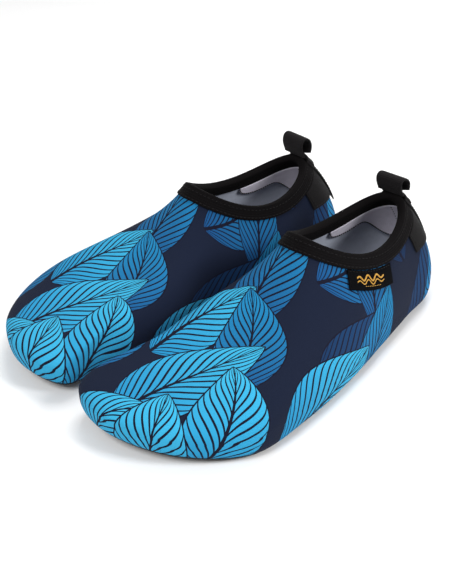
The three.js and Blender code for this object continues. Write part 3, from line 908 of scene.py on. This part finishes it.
def leaf_group():
    """One printed leaf over what is printed below it. Place, Start and End are in pattern millimetres."""
    tree = bpy.data.node_groups.new("leaf", "ShaderNodeTree")
    face = tree.interface
    face.new_socket("Below", in_out="INPUT", socket_type="NodeSocketColor")
    for title in ("Place", "Start", "End"):
        face.new_socket(title, in_out="INPUT", socket_type="NodeSocketVector")
    for title in LEAF_VALUES:
        face.new_socket(title, in_out="INPUT", socket_type="NodeSocketFloat")
    for title in ("Near", "Far"):
        face.new_socket(title, in_out="INPUT", socket_type="NodeSocketColor")
    face.new_socket("Colour", in_out="OUTPUT", socket_type="NodeSocketColor")
    given = tree.nodes.new("NodeGroupInput").outputs

    def vector(operation, a, b):
        made = node(tree, "VectorMath", {0: a, 1: b}, operation=operation)
        return made.outputs[1] if operation in ("LENGTH", "DOT_PRODUCT") else made.outputs[0]

    way = vector("SUBTRACT", given["End"], given["Start"])
    here = vector("SUBTRACT", given["Place"], given["Start"])
    long = vector("LENGTH", way, (0, 0, 0))
    along = calc(tree, "DIVIDE", vector("DOT_PRODUCT", here, way), calc(tree, "MULTIPLY", long, long))
    cross = node(tree, "SeparateXYZ", {0: vector("CROSS_PRODUCT", way, here)}).outputs[2]
    bow = calc(tree, "MULTIPLY", calc(tree, "MULTIPLY", along, calc(tree, "SUBTRACT", 1.0, along)), 4.0)
    from_chord = calc(tree, "DIVIDE", cross, long)
    off = calc(tree, "SUBTRACT", from_chord, calc(tree, "MULTIPLY", bow, given["Bend"]))
    held = calc(tree, "ADD", along, 0.0, clamp=True)
    swell = calc(tree, "SINE", calc(tree, "MULTIPLY", calc(tree, "POWER", held, given["Power"]), math.pi))
    half = calc(tree, "MULTIPLY", calc(tree, "POWER", calc(tree, "MAXIMUM", swell, 0.0), 0.8), given["Half"])
    from_rib = calc(tree, "ABSOLUTE", off)
    out = calc(tree, "DIVIDE", from_rib, calc(tree, "MAXIMUM", half, 0.01))
    inside = calc(tree, "LESS_THAN", out, 1.0)
    reach = calc(tree, "SUBTRACT", 1.0, calc(tree, "MULTIPLY", calc(tree, "MINIMUM", out, 1.0), 2.0))
    curl = calc(tree, "DIVIDE", calc(tree, "ARCCOSINE", reach), math.pi)
    swept = calc(tree, "SUBTRACT", along, calc(tree, "MULTIPLY", curl, given["Sweep"]))
    vein = calc(tree, "PINGPONG", calc(tree, "MULTIPLY", swept, given["Veins"]), 0.5)
    thick = calc(tree, "SUBTRACT", 0.165, calc(tree, "MULTIPLY", out, 0.05))
    on_vein = calc(tree, "LESS_THAN", vein, thick)
    rib_half = calc(tree, "MULTIPLY", calc(tree, "SUBTRACT", 1.2, held), given["Rib"])
    on_rib = calc(tree, "LESS_THAN", from_rib, rib_half)
    on_edge = calc(tree, "LESS_THAN", calc(tree, "SUBTRACT", half, from_rib), 0.9)
    line = calc(tree, "MAXIMUM", calc(tree, "MAXIMUM", on_vein, on_rib), on_edge)
    inked = calc(tree, "MULTIPLY", line, inside)
    leaf = mix_colour(tree, held, given["Near"], given["Far"])
    filled = mix_colour(tree, inside, given["Below"], leaf)
    done = tree.nodes.new("NodeGroupOutput")
    tree.links.new(mix_colour(tree, inked, filled, INK), done.inputs[0])
    return tree


# The print's leaves stand in staggered rows, laid out by rule in pattern millimetres.
LEAF_FIRST_ROW, LEAF_ROW_STEP, LEAF_ROWS = 30, 48, 6
LEAF_COLUMN_STEP, LEAF_COLUMNS = 54, 7
LEAF_LENGTH, LEAF_HALF_WIDTH, LEAF_BEND = 78, 23, 7
LEAF_PEAK = 0.42  # where a leaf is widest, as a share of its length
LEAF_VEINS, LEAF_SWEEP, LEAF_RIB = 13, 0.46, 1.1
TOE_ROWS_END, TOE_HALF_WIDTH, THROAT_HALF_WIDTH = -100, 120, 30
PALE = ((38, 146, 202), (70, 196, 240))  # at the stem and at the tip
MIDDLE = ((29, 84, 142), (38, 150, 206))
DARK = ((27, 56, 96), (30, 76, 124))


def leaf_tone(row, column):
    """Pale leaves at the toe, darker ones towards the heel, and a darker one among every three."""
    from_toe = 1 - row / (LEAF_ROWS - 1)
    step = int(2.2 * from_toe) + ((row + column) % 3 == 0)
    return (PALE, MIDDLE, DARK)[min(step, 2)]


def leaf_layout():
    """Stem, tip, bend, half width and colours of each leaf; each row lies over the one behind it."""
    leaves = []
    for row in range(LEAF_ROWS):
        y = LEAF_FIRST_ROW - LEAF_ROW_STEP * row
        for column in range(LEAF_COLUMNS):
            x = LEAF_COLUMN_STEP * (column - (LEAF_COLUMNS - 1) / 2 + 0.5 * (row % 2))
            past_toe = y < TOE_ROWS_END and abs(x) > TOE_HALF_WIDTH
            in_throat = row == 0 and abs(x) < THROAT_HALF_WIDTH
            if past_toe or in_throat:
                continue
            turn = math.radians(14 * ((2 * column + 3 * row) % 5 - 2))
            length = LEAF_LENGTH + 5 * ((column + 2 * row) % 4)
            tip = (x + length * math.sin(turn), y + length * math.cos(turn))
            bend = LEAF_BEND if (row + column) % 2 else -LEAF_BEND
            half = LEAF_HALF_WIDTH + 2 * ((row + 2 * column) % 3 - 1)
            leaves.append(((x, y), tip, bend, half, leaf_tone(row, column)))
    return leaves


def leaf_print():
    material, tree, shader = new_material("leaf_print", 0.8, 0.02, 0.06)
    place = uv_place(tree, "Print")
    colour = node(tree, "RGB")
    colour.outputs[0].default_value = NIGHT
    colour = colour.outputs[0]
    leaf = leaf_group()
    power = math.log(0.5) / math.log(LEAF_PEAK)
    for start, end, bend, half, (near, far) in leaf_layout():
        made = tree.nodes.new("ShaderNodeGroup")
        made.node_tree = leaf
        values = (bend, half, power, LEAF_VEINS, LEAF_SWEEP, LEAF_RIB)
        for title, value in zip(LEAF_VALUES, values):
            made.inputs[title].default_value = value
        made.inputs["Start"].default_value = (*start, 0)
        made.inputs["End"].default_value = (*end, 0)
        made.inputs["Near"].default_value = dye(*near)
        made.inputs["Far"].default_value = dye(*far)
        tree.links.new(place, made.inputs["Place"])
        tree.links.new(colour, made.inputs["Below"])
        colour = made.outputs[0]
    tree.links.new(mottled(tree, colour, 0.06, 1800), shader.inputs["Base Color"])
    bump(tree, shader, knit_height(tree, place, 0.7), 0.00012)
    return material


def ribbed_material(name, colour, pitch, depth, roughness, sheen, specular=0.15):
    """Woven tape: threads across and along, in millimetres of the piece's own weave map."""
    material, tree, shader = new_material(name, roughness, sheen, specular)
    parts = node(tree, "SeparateXYZ", {0: uv_place(tree, "Weave")})
    across = calc(tree, "PINGPONG", parts.outputs[0], pitch / 2)
    shifted = calc(tree, "ADD", parts.outputs[1], across)
    along = calc(tree, "PINGPONG", shifted, pitch / 2)
    height = calc(tree, "DIVIDE", calc(tree, "ADD", across, along), pitch)
    tree.links.new(mottled(tree, colour, 0.2, 900), shader.inputs["Base Color"])
    bump(tree, shader, height, depth)
    return material


def speckled_material(name, colour, roughness, scale, depth, specular=0.4, change=0.15):
    """Rubber, foam and felt: a fine cellular surface."""
    material, tree, shader = new_material(name, roughness, 0.0, specular)
    cells = node(tree, "TexVoronoi", {"Vector": rest_place(tree), "Scale": scale})
    tree.links.new(mottled(tree, colour, change, scale / 6), shader.inputs["Base Color"])
    bump(tree, shader, cells.outputs["Distance"], depth)
    return material


def thread_material(name, colour, roughness, metallic=0.0):
    material, tree, shader = new_material(name, roughness, 0.0, 0.25)
    shader.inputs["Metallic"].default_value = metallic
    twist = node(tree, "TexNoise", {"Vector": rest_place(tree), "Scale": 5000.0, "Detail": 2.0})
    tree.links.new(mottled(tree, colour, 0.2, 1500), shader.inputs["Base Color"])
    bump(tree, shader, twist.outputs[0], 0.0001)
    return material


LEAF_PRINT = leaf_print()
LINING_KNIT = knit_material("lining_knit", linear(190, 196, 212), 0.9, 0.9, 0.00015, 0.1, "Print")
HEEL_KNIT = knit_material("heel_knit", linear(226, 221, 236), 0.9, 0.9, 0.00015, 0.1)
BLACK_KNIT = knit_material("black_knit", linear(11, 9, 10), 0.85, 0.8, 0.00015, 0.02)
FOOT_CLOTH = knit_material("foot_cloth", linear(40, 41, 46), 0.9, 1.0, 0.0002, 0.05)
ELASTIC = ribbed_material("ribbed_elastic", linear(10, 8, 9), 0.7, 0.00012, 0.85, 0.015, 0.06)
WEBBING = ribbed_material("black_webbing", linear(17, 14, 16), 0.9, 0.00018, 0.8, 0.03)
LABEL_SATIN = ribbed_material("label_satin", linear(6, 6, 8), 0.4, 0.00006, 0.8, 0.0, 0.04)
RUBBER = speckled_material("black_rubber", linear(16, 15, 17), 0.65, 900.0, 0.00008)
FOAM = speckled_material("grey_foam", linear(62, 66, 72), 0.95, 1400.0, 0.0003, 0.2)
FELT = speckled_material("felt_board", linear(186, 182, 174), 0.95, 1100.0, 0.0003, 0.2)
THREAD = thread_material("black_thread", linear(14, 12, 13), 0.7)
GOLD_THREAD = thread_material("gold_thread", linear(196, 148, 62), 0.45)


# ---- The scene: floor, light and camera ----
def floor():
    """A plain white floor that runs out into the background."""
    half, curve_start, rise, steps = 3.0, 1.6, 1.4, 24
    profile = [(-half, 0.0), (curve_start, 0.0)]
    for i in range(1, steps + 1):
        turn = math.pi / 2 * i / steps
        profile.append((curve_start + rise * math.sin(turn), rise * (1 - math.cos(turn))))
    points = np.array([[(x, y, z) for x in (-half, half)] for y, z in profile])
    turned = points.copy()
    angle = math.radians(CAMERA["azimuth"])
    turned[..., 0] = points[..., 0] * math.cos(angle) - points[..., 1] * math.sin(angle)
    turned[..., 1] = points[..., 0] * math.sin(angle) + points[..., 1] * math.cos(angle)
    sheet = mesh_object("floor", turned, quads(len(profile), 2))
    material, tree, shader = new_material("white_floor", 0.8, 0.0, 0.2)
    tree.links.new(mottled(tree, linear(250, 250, 250), 0.01, 3), shader.inputs["Base Color"])
    sheet.data.materials.append(material)


# The photograph's view: degrees round and above the pair, metres, and the lens for a 36 mm sensor.
CAMERA = {"azimuth": 49.42, "elevation": 30.79, "roll": -1.52, "target": (0.01212, -0.01586, 0.04),
          "distance": 0.5863, "lens": 59.32}


def direction(azimuth, elevation):
    """Away from the pair, at degrees round it and above it."""
    a, e = math.radians(azimuth), math.radians(elevation)
    return Vector((math.sin(a) * math.cos(e), -math.cos(a) * math.cos(e), math.sin(e)))


def camera():
    back = direction(CAMERA["azimuth"], CAMERA["elevation"])
    made = bpy.data.objects.new("camera", bpy.data.cameras.new("camera"))
    bpy.context.scene.collection.objects.link(made)
    made.location = Vector(CAMERA["target"]) + back * CAMERA["distance"]
    made.rotation_mode = "QUATERNION"
    facing = (-back).to_track_quat("-Z", "Y")
    made.rotation_quaternion = facing @ Quaternion((0, 0, 1), math.radians(CAMERA["roll"]))
    made.data.sensor_fit = "AUTO"
    made.data.sensor_width = 36
    made.data.lens = CAMERA["lens"]
    made.data.clip_start = 0.01
    bpy.context.scene.camera = made


def soft_light(name, azimuth, elevation, distance, size, watts):
    """A square lamp that faces the middle of the pair."""
    back = direction(azimuth, elevation)
    lamp = bpy.data.lights.new(name, "AREA")
    lamp.size, lamp.energy = size, watts
    made = bpy.data.objects.new(name, lamp)
    bpy.context.scene.collection.objects.link(made)
    made.location = Vector((0, 0, 0.04)) + back * distance
    made.rotation_mode = "QUATERNION"
    made.rotation_quaternion = (-back).to_track_quat("-Z", "Y")


def lighting():
    world = bpy.data.worlds.new("studio")
    bpy.context.scene.world = world
    world.use_nodes = True
    background = world.node_tree.nodes["Background"].inputs
    background["Color"].default_value = (1, 1, 1, 1)
    background["Strength"].default_value = 0.36
    soft_light("key", -150, 66, 1.6, 0.8, 12)
    soft_light("front", 15, 48, 1.7, 0.6, 16)
    soft_light("side", 112, 34, 1.7, 0.45, 17)
    bpy.context.scene.view_settings.view_transform = "Standard"


for shoe in SIDES:
    upper(shoe)
    lining(shoe)
    heel_lining(shoe)
    collar_binding(shoe)
    heel_patch(shoe)
    heel_tape(shoe)
    back_seam(shoe)
    pull_loop(shoe)
    side_label(shoe)
    outsole(shoe)
    strobel_board(shoe)
    insole(shoe)
floor()
camera()
lighting()
